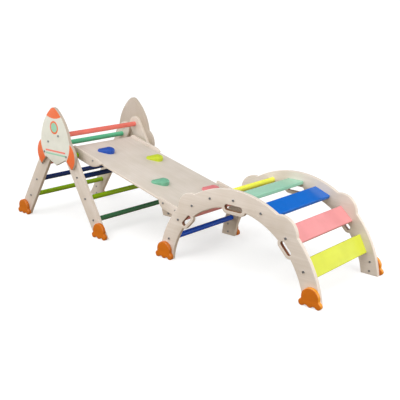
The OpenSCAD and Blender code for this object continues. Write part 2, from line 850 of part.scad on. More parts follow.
arch_rung(0);  // arch_rung_1
arch_rung(1);  // arch_rung_2
arch_rung(2);  // arch_rung_3
arch_rung(3);  // arch_rung_4
slat(0);  // slat_1
slat(1);  // slat_2
slat(2);  // slat_3
slat(3);  // slat_4
arch_paw(-1, 0);  // arch_paw_left_near
arch_paw(-1, 1);  // arch_paw_left_far
arch_paw(1, 0);  // arch_paw_right_near
arch_paw(1, 1);  // arch_paw_right_far
arch_bolts();
arch_paw_screws();
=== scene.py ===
"""Toddler climbing gym: rounds the plywood edges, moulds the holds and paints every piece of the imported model."""

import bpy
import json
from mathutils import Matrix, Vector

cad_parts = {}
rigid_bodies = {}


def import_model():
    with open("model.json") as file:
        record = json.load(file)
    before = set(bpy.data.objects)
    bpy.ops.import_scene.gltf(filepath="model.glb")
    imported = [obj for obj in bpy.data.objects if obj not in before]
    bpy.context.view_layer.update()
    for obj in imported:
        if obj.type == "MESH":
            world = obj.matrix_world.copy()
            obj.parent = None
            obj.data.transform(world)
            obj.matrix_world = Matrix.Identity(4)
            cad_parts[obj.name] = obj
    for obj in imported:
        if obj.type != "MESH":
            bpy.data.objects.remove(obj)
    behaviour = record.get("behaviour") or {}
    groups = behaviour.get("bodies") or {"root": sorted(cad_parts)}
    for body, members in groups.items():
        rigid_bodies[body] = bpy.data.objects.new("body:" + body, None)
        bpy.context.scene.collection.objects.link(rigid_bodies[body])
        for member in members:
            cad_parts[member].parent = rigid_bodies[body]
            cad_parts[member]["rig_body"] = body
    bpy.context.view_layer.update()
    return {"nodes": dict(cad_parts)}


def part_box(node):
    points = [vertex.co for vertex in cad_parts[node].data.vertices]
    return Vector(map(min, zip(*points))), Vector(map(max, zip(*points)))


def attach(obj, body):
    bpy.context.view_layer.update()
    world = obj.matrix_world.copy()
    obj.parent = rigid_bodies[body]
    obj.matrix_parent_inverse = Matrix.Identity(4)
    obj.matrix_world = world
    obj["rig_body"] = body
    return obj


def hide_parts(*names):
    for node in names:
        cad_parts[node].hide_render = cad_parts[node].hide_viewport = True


bl_info = {
    "name": "Toddler Climbing Gym",
    "version": (1, 0, 0),
    "blender": (4, 5, 0),
    "location": "View3D > Sidebar > Gym",
    "description": "Finishes a climbing triangle, a ramp and an arch in birch plywood and coloured lacquer",
    "category": "Object",
}

import json
import math
from collections import Counter

import bmesh
import bpy
from bpy.props import FloatProperty, FloatVectorProperty, IntProperty, PointerProperty
from mathutils import Matrix, Vector
from mathutils.geometry import tessellate_polygon

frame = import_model()
MM = 0.001


def linear(code):
    """sRGB hex code as linear red, green and blue."""
    shares = [int(code[i:i + 2], 16) / 255 for i in (1, 3, 5)]
    return [c / 12.92 if c <= 0.04045 else ((c + 0.055) / 1.055) ** 2.4 for c in shares]


def colour(label, code):
    """A colour that the user can change, with its default as an sRGB hex code."""
    return FloatVectorProperty(name=label, description=f"Colour of the {label.lower()}", subtype="COLOR",
                               size=3, min=0, max=1, default=linear(code))


def length(label, text, millimetres):
    """A length that the user can change, with its default in millimetres."""
    return FloatProperty(name=label, description=text, unit="LENGTH", min=0, default=millimetres * MM)


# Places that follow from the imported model.

def middle(node):
    """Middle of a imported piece's box."""
    low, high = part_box(node)
    return (low + high) / 2


HOOK_TOP = middle("front_rung_2")
HOOK_LOW = middle("arch_rung_3")
RAMP_RUN = (HOOK_LOW - HOOK_TOP).length
RAMP_ANGLE = math.atan2(HOOK_TOP.z - HOOK_LOW.z, HOOK_LOW.x - HOOK_TOP.x)
RAMP_SQUARE = Vector((math.sin(RAMP_ANGLE), 0, math.cos(RAMP_ANGLE)))
RAMP_TOP = max((v.co - HOOK_TOP).dot(RAMP_SQUARE) for v in frame["nodes"]["ramp_board"].data.vertices)
ROCKET_X = middle("rocket_panel_near").x
ROCKET_FACE = -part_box("rocket_panel_near")[0].y
BODY = {name: obj["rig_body"] for name, obj in frame["nodes"].items()}


class GymSizes(bpy.types.PropertyGroup):
    """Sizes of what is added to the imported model."""
    edge_round: length("Edge round-over", "Radius on the edges of the plywood", 2.5)
    slot_round: length("Slot round-over", "Radius on the edges of an opening in a plate", 1.2)
    paw_round: length("Paw round-over", "Radius on the edges of the paw feet", 3.5)
    round_steps: IntProperty(name="Round-over steps", description="Faces across one round-over", default=4, min=2,
                             max=8)
    hole_limit: length("Hole limit", "Holes smaller than this lie under a screw head and are closed", 16)
    grain_width: length("Grain width", "Width of a streak in the birch veneer", 7)
    grain_length: length("Grain length", "Length of a streak in the birch veneer", 220)
    layer: length("Plywood layer", "Thickness of one layer on a cut edge", 3)
    hold_wide: length("Hold wide end", "Radius of the wide end of a hold", 28)
    hold_narrow: length("Hold narrow end", "Radius of the narrow end of a hold", 17.5)
    hold_reach: length("Hold reach", "Distance between the two ends of a hold", 41)
    hold_fix: length("Hold bolt", "Distance of the bolt from the middle of a hold's wide end", 11)
    hold_height: length("Hold height", "Height of a hold at its wide end", 22)
    hold_low: length("Hold low end", "Height of a hold at its narrow end", 11)
    hold_shoulder: length("Hold shoulder", "Radius of the rounded shoulder of a hold", 8)
    nose_line: length("Nose line", "Height of the lower edge of the painted nose", 566)
    ring_height: length("Ring height", "Height of the middle of the painted ring", 520)
    ring_radius: length("Ring radius", "Radius of the middle of the painted ring", 29)
    ring_width: length("Ring width", "Width of the painted ring", 9)
    band_high: length("Upper band", "Height of the middle of the upper painted band", 398)
    band_low: length("Lower band", "Height of the middle of the lower painted band", 382)
    band_width: length("Band width", "Width of a painted band", 8)


class GymColours(bpy.types.PropertyGroup):
    """Colours of the veneer, the lacquers, the resin and the steel."""
    birch: colour("Birch veneer", "#DBD1C7")
    birch_streak: colour("Birch streaks", "#D1C6B9")
    birch_edge: colour("Birch cut edge", "#DED4CA")
    birch_layer: colour("Birch edge layers", "#CDB89A")
    cream: colour("Cream lacquer", "#DCDDD2")
    orange: colour("Orange lacquer", "#E66D37")
    paw: colour("Paw lacquer", "#CB6D15")
    # a painted highlight: the paler edge colour of the paws beside the side lamp
    paw_lit_edge: colour("Paw edge painted highlight", "#E8962A")
    coral: colour("Coral lacquer", "#F27A6C")
    lemon: colour("Lemon lacquer", "#FEFF58")
    lime: colour("Lime lacquer", "#D5DC40")
    apple: colour("Apple green lacquer", "#92BD06")
    blue: colour("Blue lacquer", "#0067C8")
    royal: colour("Royal blue lacquer", "#0052D4")
    navy: colour("Navy lacquer", "#002B6C")
    # painted shade: the green lacquer drawn darker, for the rung that lies under the ramp
    forest: colour("Green lacquer in painted shade", "#36724B")
    green: colour("Green lacquer", "#5FC597")
    mint: colour("Mint lacquer", "#97CDB1")
    pink: colour("Pink lacquer", "#E79697")
    hold_blue: colour("Blue resin", "#0C48A9")
    hold_lime: colour("Lime resin", "#C0CF26")
    hold_mint: colour("Mint resin", "#6EAE8E")
    hold_pink: colour("Pink resin", "#DA7A7E")
    steel: colour("Zinc-plated steel", "#A2A8B1")
    floor: colour("Studio floor", "#B8B8B8")
    ground: colour("Studio ground", "#F2CF9E")


class GymStage(bpy.types.PropertyGroup):
    """Camera and light."""
    eye: FloatVectorProperty(name="Camera place", description="Where the camera stands", subtype="TRANSLATION",
                             size=3, default=(ROCKET_X + 2.84572, -2.28635, 1.10229))
    aim: FloatVectorProperty(name="Camera turn", description="How the camera is turned", subtype="EULER",
                             size=3, default=(math.radians(74.228), 0, math.radians(42.535)))
    lens: FloatProperty(name="Focal length", description="Focal length on a sensor 36 mm wide", unit="CAMERA",
                        default=61.235)
    front: FloatProperty(name="Front light", description="Strength of the broad light in front", default=1.1, min=0)
    lamp: FloatProperty(name="Near lamp", description="Power of the lamp in front of the ramp", unit="POWER",
                        default=10.5)
    side: FloatProperty(name="Side lamp", description="Power of the lamp beside the arch", unit="POWER", default=20)
    back: FloatProperty(name="Back light", description="Strength of the broad light behind", default=1.9, min=0)
    left: FloatProperty(name="Left light", description="Strength of the broad light beside the triangle", default=1.5,
                        min=0)
    spread: FloatProperty(name="Light spread", description="Angle that a broad light fills", subtype="ANGLE",
                          default=math.radians(45))
    front_sky: FloatProperty(name="Front sky", description="Strength of the even light from the front", default=0.66,
                             min=0)
    back_sky: FloatProperty(name="Back sky", description="Strength of the even light from behind", default=0.1, min=0)
    horizon: FloatProperty(name="Horizon", description="Strength of the light just above the floor", default=1.1,
                           min=0)
    ground: FloatProperty(name="Ground", description="Strength of the even light from below", default=0.27, min=0)
    glow: FloatProperty(name="Floor glow", description="Strength of the light through the floor", default=0.56, min=0)


# Materials.

def add(tree, kind, inputs=(), **settings):
    """A node with its settings; inputs pairs a socket's name or number with a value or with the socket to link."""
    node = tree.nodes.new(kind)
    for name, value in settings.items():
        setattr(node, name, value)
    for name, value in dict(inputs).items():
        if isinstance(value, bpy.types.NodeSocket):
            tree.links.new(value, node.inputs[name])
        else:
            node.inputs[name].default_value = value
    return node


def start_material(name, **sockets):
    """A new material with values on its shader's sockets, its node tree and those sockets."""
    material = bpy.data.materials.new(name)
    material.use_nodes = True
    tree = material.node_tree
    shader = tree.nodes["Principled BSDF"]
    for socket, value in sockets.items():
        shader.inputs["IOR" if socket == "ior" else socket.replace("_", " ").title()].default_value = value
    return material, tree, shader.inputs


def rgba(value):
    """A colour with full alpha."""
    return (*value, 1)


# painted shade: how the wood's colour is drawn darker and warmer where shade falls on it, and darker and browner
# still on the walls of the hand slots
SHADED_TONE = {"Saturation": 1.3, "Value": 0.76}
SLOT_SHADE_TONE = {"Hue": 0.46, "Saturation": 3.4, "Value": 0.38}


def birch_nodes(tree, place, turn, layers_along, tone):
    """Veneer on the flat faces and layers on the cut edges, drawn darker where a painted-shade tone is given; the
    colour, and the height of the grain for a bump."""
    sizes, tint = bpy.context.scene.gym_sizes, bpy.context.scene.gym_colours
    grain = add(tree, "ShaderNodeMapping", {"Vector": place["Object"], "Rotation": (0, turn, 0),
                "Scale": (sizes.grain_length, sizes.grain_width, sizes.grain_width)}, vector_type="TEXTURE")
    streaks = add(tree, "ShaderNodeTexNoise", {"Vector": grain.outputs[0], "Scale": 1, "Detail": 5,
                  "Roughness": 0.62, "Distortion": 0.35})
    cloud = add(tree, "ShaderNodeTexNoise", {"Vector": place["Object"], "Scale": 1 / (111 * MM), "Detail": 2})
    soft = add(tree, "ShaderNodeMath", {0: streaks.outputs["Fac"], 1: cloud.outputs["Fac"]}, operation="MULTIPLY")
    spread = add(tree, "ShaderNodeMapRange", {"Value": soft.outputs[0], "From Min": 0.16, "From Max": 0.38})
    veneer = add(tree, "ShaderNodeMix", {"Factor": spread.outputs[0], 6: rgba(tint.birch_streak),
                 7: rgba(tint.birch)}, data_type="RGBA")
    depth = add(tree, "ShaderNodeVectorMath", {0: place["Object"], 1: layers_along}, operation="DOT_PRODUCT")
    count = add(tree, "ShaderNodeMath", {0: depth.outputs["Value"], 1: sizes.layer}, operation="PINGPONG")
    glue = add(tree, "ShaderNodeMapRange", {"Value": count.outputs[0], "From Min": 0.3 * sizes.layer,
               "From Max": 0.7 * sizes.layer, "To Max": 0.35})
    edge = add(tree, "ShaderNodeMix", {"Factor": glue.outputs[0], 6: rgba(tint.birch_edge),
               7: rgba(tint.birch_layer)}, data_type="RGBA")
    facing = add(tree, "ShaderNodeVectorMath", {0: place["Normal"], 1: layers_along}, operation="DOT_PRODUCT")
    flat = add(tree, "ShaderNodeMath", {0: facing.outputs["Value"]}, operation="ABSOLUTE")
    on_face = add(tree, "ShaderNodeMapRange", {"Value": flat.outputs[0], "From Min": 0.75, "From Max": 0.95})
    both = add(tree, "ShaderNodeMix", {"Factor": on_face.outputs[0], 6: edge.outputs[2], 7: veneer.outputs[2]},
               data_type="RGBA")
    shade = both.outputs[2]
    if tone:
        shade = add(tree, "ShaderNodeHueSaturation", {"Color": shade, **tone}).outputs[0]
    return shade, streaks.outputs["Fac"]


def birch_plywood(name, turn, layers_along=(0, 1, 0), tone=None):
    """Birch plywood, sliced veneer glued in layers, sanded and sealed with a clear satin lacquer: a pale, calm face
    with long faint streaks, cut edges of nearly the same colour with thin brown glue layers, and a soft sheen.
    The streaks and the layers are drawn about twice as coarse as real ones, because finer ones do not show."""
    material, tree, shader = start_material(name, roughness=0.5, ior=1.5, coat_weight=0.05)
    place = add(tree, "ShaderNodeTexCoord").outputs
    shade, grain = birch_nodes(tree, place, turn, layers_along, tone)
    tree.links.new(shade, shader["Base Color"])
    relief = add(tree, "ShaderNodeBump", {"Height": grain, "Strength": 0.06, "Distance": 0.3 * MM})
    tree.links.new(relief.outputs[0], shader["Normal"])
    return material


def lacquer(name, value, lit_edge_value=None):
    """Coloured lacquer sprayed on beech or birch: even colour, slightly uneven where the coat pools, a soft gloss,
    and the wood's lengthwise grain just felt through the coat. The cut edges of a plate may be drawn in a paler
    colour of their own: a painted highlight where the light falls on them."""
    material, tree, shader = start_material(name, ior=1.5)
    place = add(tree, "ShaderNodeTexCoord").outputs
    grain = add(tree, "ShaderNodeMapping", {"Vector": place["Object"], "Scale": (4 * MM, 160 * MM, 4 * MM)},
                vector_type="TEXTURE")
    fibres = add(tree, "ShaderNodeTexNoise", {"Vector": grain.outputs[0], "Scale": 1, "Detail": 4})
    pools = add(tree, "ShaderNodeTexNoise", {"Vector": place["Object"], "Scale": 1 / (71.4 * MM), "Detail": 3})
    amount = add(tree, "ShaderNodeMapRange", {"Value": pools.outputs["Fac"], "From Min": 0.3, "From Max": 0.7,
                 "To Min": 0.94, "To Max": 1.03})
    coat = rgba(value)
    # faces that turn away from the plate's sides take the paler edge colour: a painted highlight
    if lit_edge_value is not None:
        facing = add(tree, "ShaderNodeSeparateXYZ", {0: place["Normal"]})
        flat = add(tree, "ShaderNodeMath", {0: facing.outputs["Y"]}, operation="ABSOLUTE")
        on_face = add(tree, "ShaderNodeMapRange", {"Value": flat.outputs[0], "From Min": 0.3, "From Max": 0.9})
        coat = add(tree, "ShaderNodeMix", {"Factor": on_face.outputs[0], 6: rgba(lit_edge_value), 7: coat},
                   data_type="RGBA").outputs[2]
    shade = add(tree, "ShaderNodeHueSaturation", {"Color": coat, "Value": amount.outputs[0]})
    tree.links.new(shade.outputs[0], shader["Base Color"])
    gloss = add(tree, "ShaderNodeMapRange", {"Value": fibres.outputs["Fac"], "To Min": 0.21, "To Max": 0.27})
    tree.links.new(gloss.outputs[0], shader["Roughness"])
    relief = add(tree, "ShaderNodeBump", {"Height": fibres.outputs["Fac"], "Strength": 0.04, "Distance": 0.2 * MM})
    tree.links.new(relief.outputs[0], shader["Normal"])
    return material


def cast_resin(name, value):
    """Polyester resin cast with sand in an open mould: one colour right through, dull, with a gritty skin that
    grips. The grit is drawn three times as coarse as the real sand, because finer grit does not show."""
    material, tree, shader = start_material(name, roughness=0.62, ior=1.53)
    place = add(tree, "ShaderNodeTexCoord").outputs
    grit = add(tree, "ShaderNodeTexVoronoi", {"Vector": place["Object"], "Scale": 1 / (2.4 * MM)})
    mottle = add(tree, "ShaderNodeTexNoise", {"Vector": place["Object"], "Scale": 1 / (16.7 * MM), "Detail": 3})
    amount = add(tree, "ShaderNodeMapRange", {"Value": mottle.outputs["Fac"], "From Min": 0.3, "From Max": 0.7,
                 "To Min": 0.88, "To Max": 1.06})
    shade = add(tree, "ShaderNodeHueSaturation", {"Color": rgba(value), "Value": amount.outputs[0]})
    tree.links.new(shade.outputs[0], shader["Base Color"])
    relief = add(tree, "ShaderNodeBump", {"Height": grit.outputs["Distance"], "Strength": 0.3, "Distance": 0.5 * MM})
    tree.links.new(relief.outputs[0], shader["Normal"])
    return material


def zinc_steel(name, value):
    """Rolled steel screws, zinc plated and passivated: a blue-grey metal with small patches more and less dull."""
    material, tree, shader = start_material(name, metallic=1.0)
    place = add(tree, "ShaderNodeTexCoord").outputs
    patches = add(tree, "ShaderNodeTexNoise", {"Vector": place["Object"], "Scale": 1 / (2.38 * MM), "Detail": 3})
    gloss = add(tree, "ShaderNodeMapRange", {"Value": patches.outputs["Fac"], "To Min": 0.26, "To Max": 0.5})
    tree.links.new(gloss.outputs[0], shader["Roughness"])
    amount = add(tree, "ShaderNodeMapRange", {"Value": patches.outputs["Fac"], "To Min": 0.8, "To Max": 1.15})
    shade = add(tree, "ShaderNodeHueSaturation", {"Color": rgba(value), "Value": amount.outputs[0]})
    tree.links.new(shade.outputs[0], shader["Base Color"])
    return material


def printed_birch(name):
    """Birch plywood with a screen-printed lacquer on its outer face: cream, an orange nose and orange fins with crisp
    edges, a ring and two bands; the inner face and the cut edges stay unprinted wood, drawn darker as painted
    shade. The coat is satin and leaves only a trace of the grain."""
    sizes, tint = bpy.context.scene.gym_sizes, bpy.context.scene.gym_colours
    material, tree, shader = start_material(name, roughness=0.42, ior=1.5, coat_weight=0.1)
    place = add(tree, "ShaderNodeTexCoord").outputs
    upright = math.pi / 2
    # the unprinted inner face and cut edges are drawn darker and warmer: painted shade
    shaded_ply, grain = birch_nodes(tree, place, upright, (0, 1, 0), SHADED_TONE)
    axes = add(tree, "ShaderNodeSeparateXYZ", {0: place["Object"]}).outputs
    half_band, half_ring = sizes.band_width / 2, sizes.ring_width / 2
    # how far the print runs round the edge, and how the nose's lower line bows (rise per square of the way out)
    print_depth, nose_bow = 1.2 * MM, 3.4
    # a fin lies outside an arc with its middle behind the board's middle line, and beyond an upright line
    fin_back, fin_z, fin_radius, fin_inner = 30 * MM, 452 * MM, 151.5 * MM, 83 * MM
    # each step of the print: its name, what is done, and with which earlier steps or numbers
    steps = {"x": axes["X"], "y": axes["Y"], "z": axes["Z"]}
    for step, operation, *values in (
            ("from_middle", "SUBTRACT", "x", ROCKET_X), ("across", "ABSOLUTE", "from_middle"),
            ("across_2", "MULTIPLY", "across", "across"), ("out", "ABSOLUTE", "y"),
            ("outer", "GREATER_THAN", "out", ROCKET_FACE - print_depth),
            ("bow", "MULTIPLY_ADD", "across_2", nose_bow, sizes.nose_line), ("nose", "GREATER_THAN", "z", "bow"),
            ("fin_x", "ADD", "across", fin_back), ("fin_x_2", "MULTIPLY", "fin_x", "fin_x"),
            ("fin_drop", "SUBTRACT", "z", fin_z), ("fin_2", "MULTIPLY_ADD", "fin_drop", "fin_drop", "fin_x_2"),
            ("fin_out", "GREATER_THAN", "fin_2", fin_radius ** 2), ("below", "LESS_THAN", "z", fin_z),
            ("beside", "GREATER_THAN", "across", fin_inner), ("fin_low", "MULTIPLY", "fin_out", "below"),
            ("fin", "MULTIPLY", "fin_low", "beside"),
            ("lift", "SUBTRACT", "z", sizes.ring_height), ("off_2", "MULTIPLY_ADD", "lift", "lift", "across_2"),
            ("off", "SQRT", "off_2"), ("pane", "LESS_THAN", "off", sizes.ring_radius),
            ("ring", "COMPARE", "off", sizes.ring_radius, half_ring),
            ("high", "COMPARE", "z", sizes.band_high, half_band), ("inside", "LESS_THAN", "across", fin_inner),
            ("band", "MULTIPLY", "high", "inside"), ("low", "COMPARE", "z", sizes.band_low, half_band),
            ("strip", "MULTIPLY", "low", "inside")):
        sockets = {i: steps[v] if isinstance(v, str) else v for i, v in enumerate(values)}
        steps[step] = add(tree, "ShaderNodeMath", sockets, operation=operation).outputs[0]
    mottle = add(tree, "ShaderNodeTexNoise", {"Vector": place["Object"], "Scale": 1 / (40 * MM), "Detail": 4})
    amount = add(tree, "ShaderNodeMapRange", {"Value": mottle.outputs["Fac"], "From Min": 0.3, "From Max": 0.7,
                 "To Min": 0.96, "To Max": 1.02})
    shade = add(tree, "ShaderNodeHueSaturation", {"Color": rgba(tint.cream), "Value": amount.outputs[0]}).outputs[0]
    for step, value in (("pane", tint.mint), ("ring", tint.orange), ("band", tint.coral), ("strip", tint.mint),
                        ("nose", tint.orange), ("fin", tint.orange)):
        shade = add(tree, "ShaderNodeMix", {"Factor": steps[step], 6: shade, 7: rgba(value)},
                    data_type="RGBA").outputs[2]
    whole = add(tree, "ShaderNodeMix", {"Factor": steps["outer"], 6: shaded_ply, 7: shade}, data_type="RGBA")
    tree.links.new(whole.outputs[2], shader["Base Color"])
    relief = add(tree, "ShaderNodeBump", {"Height": grain, "Strength": 0.08, "Distance": 0.2 * MM})
    tree.links.new(relief.outputs[0], shader["Normal"])
    return material


# Meshes.

FLAT_WITHIN = 0.02 * MM  # how far a corner may lie off a plate's face
PLACES = 5  # decimals that tell two corners apart
SHARPEST = 0.3  # least divisor at a corner, so that a sharp one does not run away
SHARP_ANGLE = math.radians(34)  # edges that turn further than this are not shaded smooth


def face_outlines(node, hole_limit):
    """Closed outlines of the flat face on the -Y side of a plate, as lists of x and z, material on the left."""
    mesh = frame["nodes"][node].data
    mesh.calc_loop_triangles()
    face_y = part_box(node)[0].y

    def key(vertex):
        return round(vertex.co.x, PLACES), round(vertex.co.z, PLACES)

    runs = Counter()
    for tri in mesh.loop_triangles:
        corners = [mesh.vertices[i] for i in tri.vertices]
        if all(abs(v.co.y - face_y) < FLAT_WITHIN for v in corners):
            for a, b in zip(corners, corners[1:] + corners[:1]):
                runs[key(a), key(b)] += 1
    after = dict(run for run in runs if runs[run] > runs[run[::-1]])
    outlines = []
    while after:
        start, point = after.popitem()
        loop = [start]
        while point != start:
            loop.append(point)
            point = after.pop(point)
        spans = [max(p[i] for p in loop) - min(p[i] for p in loop) for i in (0, 1)]
        if max(spans) > hole_limit:
            outlines.append(loop)
    if not outlines:
        raise RuntimeError(f"{node} has no flat face on its -Y side")
    return outlines


def inset(loop, distance):
    """The outline moved into the material by a distance."""
    points = [Vector(p) for p in loop]
    moved = []
    for before, here, after in zip(points[-1:] + points[:-1], points, points[1:] + points[:1]):
        one, two = (here - before).normalized(), (after - here).normalized()
        left, right = Vector((-one.y, one.x)), Vector((-two.y, two.x))
        moved.append(here + (left + right) * distance / max(1 + left.dot(right), SHARPEST))
    return moved


def ring_faces(first, rows, count):
    """Faces between rows of count points each, every row closed on itself."""
    return [(first + r * count + i, first + r * count + j, first + (r + 1) * count + j, first + (r + 1) * count + i)
            for r in range(rows - 1) for i, j in ((k, (k + 1) % count) for k in range(count))]


def finish_mesh(name, verts, faces, flat_from, node, materials, walls=()):
    """A smooth-sided object from verts and faces that stands for a node; faces from flat_from on stay flat, and the
    faces in walls take the second material."""
    mesh = bpy.data.meshes.new(name)
    mesh.from_pydata(verts, [], faces)
    work = bmesh.new()
    work.from_mesh(mesh)
    bmesh.ops.recalc_face_normals(work, faces=work.faces)
    work.to_mesh(mesh)
    work.free()
    mesh.polygons.foreach_set("use_smooth", [i < flat_from for i in range(len(faces))])
    mesh.set_sharp_from_angle(angle=SHARP_ANGLE)
    for material in materials:
        mesh.materials.append(material)
    for face in walls:
        mesh.polygons[face].material_index = 1
    piece = bpy.data.objects.new(name, mesh)
    bpy.context.scene.collection.objects.link(piece)
    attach(piece, BODY[node])
    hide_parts(node)


def rounded_plate(node, radius, slot, material, *wall_material):
    """A plate with its two faces' edges rounded over, in place of a sharp one; the walls of its openings may have
    a material of their own."""
    sizes = bpy.context.scene.gym_sizes
    low, high = (corner.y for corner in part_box(node))
    steps = sizes.round_steps
    turns = [math.pi / 2 * k / steps for k in range(steps + 1)]
    verts, faces, caps, walls = [], [], ([], []), []
    for loop in face_outlines(node, sizes.hole_limit):
        first, count = len(verts), len(loop)
        opening = sum(a[0] * b[1] - b[0] * a[1] for a, b in zip(loop, loop[1:] + loop[:1])) < 0
        if opening and wall_material:
            walls += range(len(faces) + steps * count, len(faces) + (steps + 1) * count)
        bend = sizes.slot_round if opening else radius
        rows = [(bend * (1 - math.sin(a)), low + bend * (1 - math.cos(a))) for a in turns]
        rows += [(depth, low + high - y) for depth, y in reversed(rows)]
        for depth, y in rows:
            verts += [(p.x, y, p.y) for p in inset(loop, depth)]
        faces += ring_faces(first, len(rows), count)
        for cap, row in zip(caps, (0, len(rows) - 1)):
            cap.append(range(first + row * count, first + (row + 1) * count))
    flat_from = len(faces)
    for cap in caps:
        order = [i for loop in cap for i in loop]
        outlines = [[Vector((verts[i][0], verts[i][2], 0)) for i in loop] for loop in cap]
        faces += [tuple(order[i] for i in tri) for tri in tessellate_polygon(outlines)]
    finish_mesh(node + "_rounded", verts, faces, flat_from, node, (material, *wall_material), walls)


def moulded_hold(node, down, across, turn, material):
    """A hold with a rounded shoulder and a crowned top that falls from its wide end to its narrow end."""
    sizes = bpy.context.scene.gym_sizes
    around, shoulder_rows, top_rows = 72, 5, 6
    crown, ridge_share = 2 * MM, 0.98  # rise of the top, and how near to its ridge the last row lies
    back, shoulder = sizes.hold_fix, sizes.hold_shoulder
    ends = ((Vector((-back, 0)), sizes.hold_wide, sizes.hold_height),
            (Vector((sizes.hold_reach - back, 0)), sizes.hold_narrow, sizes.hold_low))
    quarter = [math.pi / 2 * k / shoulder_rows for k in range(shoulder_rows + 1)]
    rows = [[] for _ in range(1 + len(quarter) + top_rows)]
    for i in range(around):
        angle = 2 * math.pi * i / around
        out = Vector((math.cos(angle), math.sin(angle)))
        centre, radius, top = max(ends, key=lambda end: end[0].dot(out) + end[1])
        foot = centre + out * radius
        column = [(foot.x, foot.y, 0)]
        for a in quarter:
            p = centre + out * (radius - shoulder * (1 - math.cos(a)))
            column.append((p.x, p.y, top - shoulder * (1 - math.sin(a))))
        edge = Vector(column[-1])
        ridge = Vector((centre.x, centre.y, top + crown))
        for k in range(1, top_rows + 1):
            t = ridge_share * k / top_rows
            p = edge.lerp(ridge, t)
            column.append((p.x, p.y, edge.z + (ridge.z - edge.z) * math.sin(t * math.pi / 2)))
        for row, point in zip(rows, column):
            row.append(point)
    verts = [point for row in rows for point in row]
    faces = ring_faces(0, len(rows), around)
    faces.append(tuple(range(len(verts) - around, len(verts))))
    flat_from = len(faces)
    faces.append(tuple(range(around)))
    seat = (Matrix.Translation(HOOK_TOP) @ Matrix.Rotation(RAMP_ANGLE, 4, "Y")
            @ Matrix.Translation((down, across, RAMP_TOP)) @ Matrix.Rotation(turn, 4, "Z"))
    verts = [tuple(seat @ Vector(point)) for point in verts]
    finish_mesh(node + "_moulded", verts, faces, flat_from, node, (material,))


def dress(node, material):
    """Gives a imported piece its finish."""
    data = frame["nodes"][node].data
    data.materials.clear()
    data.materials.append(material)


def sided(*names):
    """The near and the far piece of each name."""
    return [f"{name}_{side}" for name in names for side in ("near", "far")]


# the lacquer of each rung and slat; the lowest front rung, under the ramp, takes a darker green, a painted shade
LACQUERED = {
    "front_rung_1": "coral", "front_rung_2": "apple", "front_rung_3": "navy", "front_rung_4": "apple",
    "front_rung_5": "forest", "rear_rung_1": "green", "rear_rung_2": "coral", "rear_rung_3": "navy",
    "rear_rung_4": "apple", "arch_rung_1": "lemon", "arch_rung_2": "mint", "arch_rung_3": "pink",
    "arch_rung_4": "royal", "slat_1": "mint", "slat_2": "blue", "slat_3": "pink", "slat_4": "lime",
}
HOLD_TURN = math.radians(230)  # from the ramp's run to a hold's narrow end
# each hold: place down the ramp from the middle of its upper hook rung, place across it, resin
HOLDS = {
    "hold_1": (73 * MM, -76 * MM, "blue"), "hold_2": (249 * MM, 104 * MM, "lime"),
    "hold_3": (RAMP_RUN - 277 * MM, -76 * MM, "mint"), "hold_4": (RAMP_RUN - 107 * MM, 104 * MM, "pink"),
}
FASTENERS = ("panel_bolts", "leg_bolts", "flush_bolts", "triangle_paw_screws", "hold_bolts", "cheek_screws",
             "hook_screws", "hook_bar_bolts", "arch_bolts", "arch_paw_screws")
FLOOR_HALF, CAMERA_REACH, LAMP_WIDTH, SENSOR_WIDTH = 400, 1000, 1.2, 36  # metres, the sensor in millimetres
WHITE = (1, 1, 1, 1)
# each light: name, kind, the setting with its strength, place, the way it shines
LIGHTS = (
    ("front_light", "SUN", "front", (0, 0, 2), (-0.1, 0.5, -0.86)),
    ("back_light", "SUN", "back", (0, 0, 2), (-0.05, -0.99, -0.1)),
    ("left_light", "SUN", "left", (0, 0, 2), (0.95, 0.1, -0.25)),
    ("near_lamp", "AREA", "lamp", (-0.1, -1.75, 1.1), (0, 0.9, -0.44)),
    ("side_lamp", "AREA", "side", (2.5, 0.1, 1.0), (-0.92, 0, -0.4)),
)


